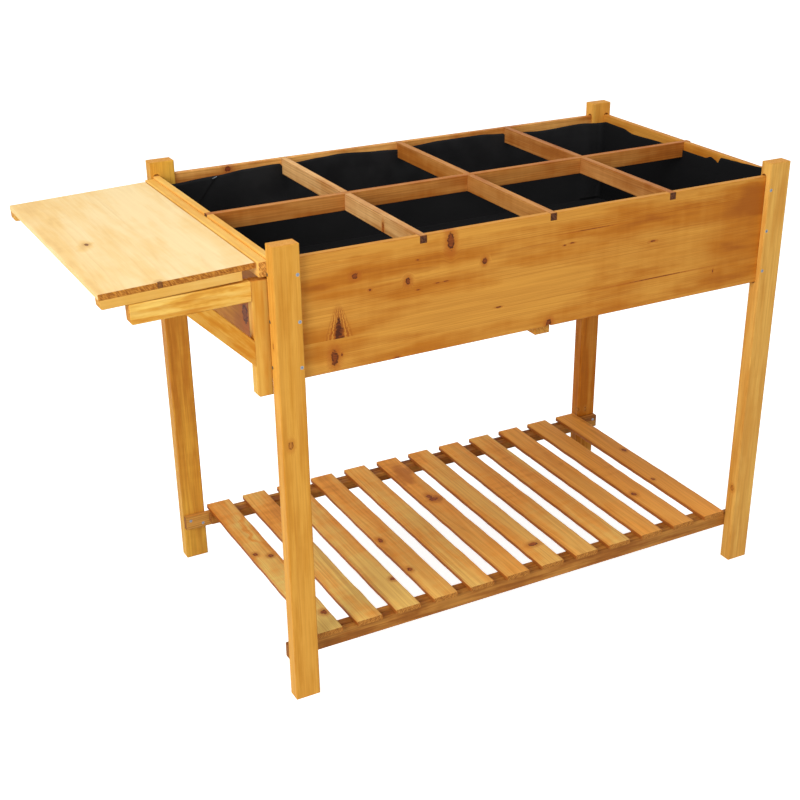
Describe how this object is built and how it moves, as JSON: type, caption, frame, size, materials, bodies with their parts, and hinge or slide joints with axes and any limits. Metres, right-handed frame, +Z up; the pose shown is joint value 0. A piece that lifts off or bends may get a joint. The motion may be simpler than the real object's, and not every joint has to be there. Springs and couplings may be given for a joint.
{
  "type": "raised planter stand",
  "caption": "Raised wooden planter stand with a lined, divided bed, a slatted lower shelf and a folding side table on swing-out brackets.",
  "frame": {"origin": "centre of the footprint, with the side table up, on the ground", "axes": "+Z up, +X along the bed away from the side table, +Y from the front to the rear"},
  "size_m": [1.2, 0.547, 0.78],
  "materials": {
    "leg_wood": "oiled",
    "panel_wood": "oiled",
    "divider_wood": "oiled",
    "slat_wood": "oiled",
    "bracket_wood": "oiled",
    "table_wood": "sanded, light",
    "liner_fabric": "matte non-woven",
    "screw_zinc": "zinc plated",
    "hinge_steel": "satin"
  },
  "bodies": {
    "frame": {"leg_front_left": "leg_wood", "leg_front_right": "leg_wood", "leg_rear_left": "leg_wood", "leg_rear_right": "leg_wood", "panel_front": "panel_wood", "panel_rear": "panel_wood", "panel_left": "panel_wood", "panel_right": "panel_wood", "floor_board_1": "panel_wood", "floor_board_2": "panel_wood", "floor_board_3": "panel_wood", "floor_cleat_left": "panel_wood", "floor_cleat_right": "panel_wood", "floor_beam": "bracket_wood", "liner": "liner_fabric", "hinge_rail": "bracket_wood", "shelf_rail_front": "slat_wood", "shelf_rail_rear": "slat_wood", "table_hinge_rail_leaves": "hinge_steel", "table_hinge_pins": "hinge_steel", "front_hinge_fixed_leaves": "hinge_steel", "front_hinge_pins": "hinge_steel", "rear_hinge_fixed_leaves": "hinge_steel", "rear_hinge_pins": "hinge_steel", "panel_screws": "screw_zinc", "frame_screws": "screw_zinc", "frame_hinge_screws": "screw_zinc"},
    "side_table": {"table_top": "table_wood", "table_cleat_front": "bracket_wood", "table_cleat_rear": "bracket_wood", "table_hinge_table_leaves": "hinge_steel", "table_hinge_screws": "screw_zinc"},
    "front_bracket": {"front_bracket_arm": "bracket_wood", "front_bracket_post": "bracket_wood", "front_bracket_brace": "bracket_wood", "front_hinge_moving_leaves": "hinge_steel", "front_bracket_screws": "screw_zinc"},
    "rear_bracket": {"rear_bracket_arm": "bracket_wood", "rear_bracket_post": "bracket_wood", "rear_bracket_brace": "bracket_wood", "rear_hinge_moving_leaves": "hinge_steel", "rear_bracket_screws": "screw_zinc"},
    "divider_grid": {"divider_long": "divider_wood", "divider_cross_1": "divider_wood", "divider_cross_2": "divider_wood", "divider_cross_3": "divider_wood"},
    "shelf_mat": {"shelf_batten_front": "slat_wood", "shelf_batten_rear": "slat_wood", "shelf_slat_1": "slat_wood", "shelf_slat_2": "slat_wood", "shelf_slat_3": "slat_wood", "shelf_slat_4": "slat_wood", "shelf_slat_5": "slat_wood", "shelf_slat_6": "slat_wood", "shelf_slat_7": "slat_wood", "shelf_slat_8": "slat_wood", "shelf_slat_9": "slat_wood", "shelf_slat_10": "slat_wood", "shelf_slat_11": "slat_wood", "shelf_slat_12": "slat_wood"}
  },
  "joints": [
    {"name": "table_hinge", "type": "hinge", "parent": "frame", "child": "side_table", "pos_m": [-0.3705, 0, 0.7403], "axis": [0, 1, 0], "range_deg": [0, 7]},
    {"name": "front_bracket_swing", "type": "hinge", "parent": "frame", "child": "front_bracket", "pos_m": [-0.355, -0.2225, 0.65], "axis": [0, 0, -1], "range_deg": [0, 90]},
    {"name": "rear_bracket_swing", "type": "hinge", "parent": "frame", "child": "rear_bracket", "pos_m": [-0.355, 0.2225, 0.65], "axis": [0, 0, 1], "range_deg": [0, 90]},
    {"name": "divider_grid_lift", "type": "slide", "parent": "frame", "child": "divider_grid", "axis": [0, 0, 1], "range_m": [0, 0.06]},
    {"name": "shelf_mat_lift", "type": "slide", "parent": "frame", "child": "shelf_mat", "axis": [0, 0, 1], "range_m": [0, 0.04]}
  ]
}
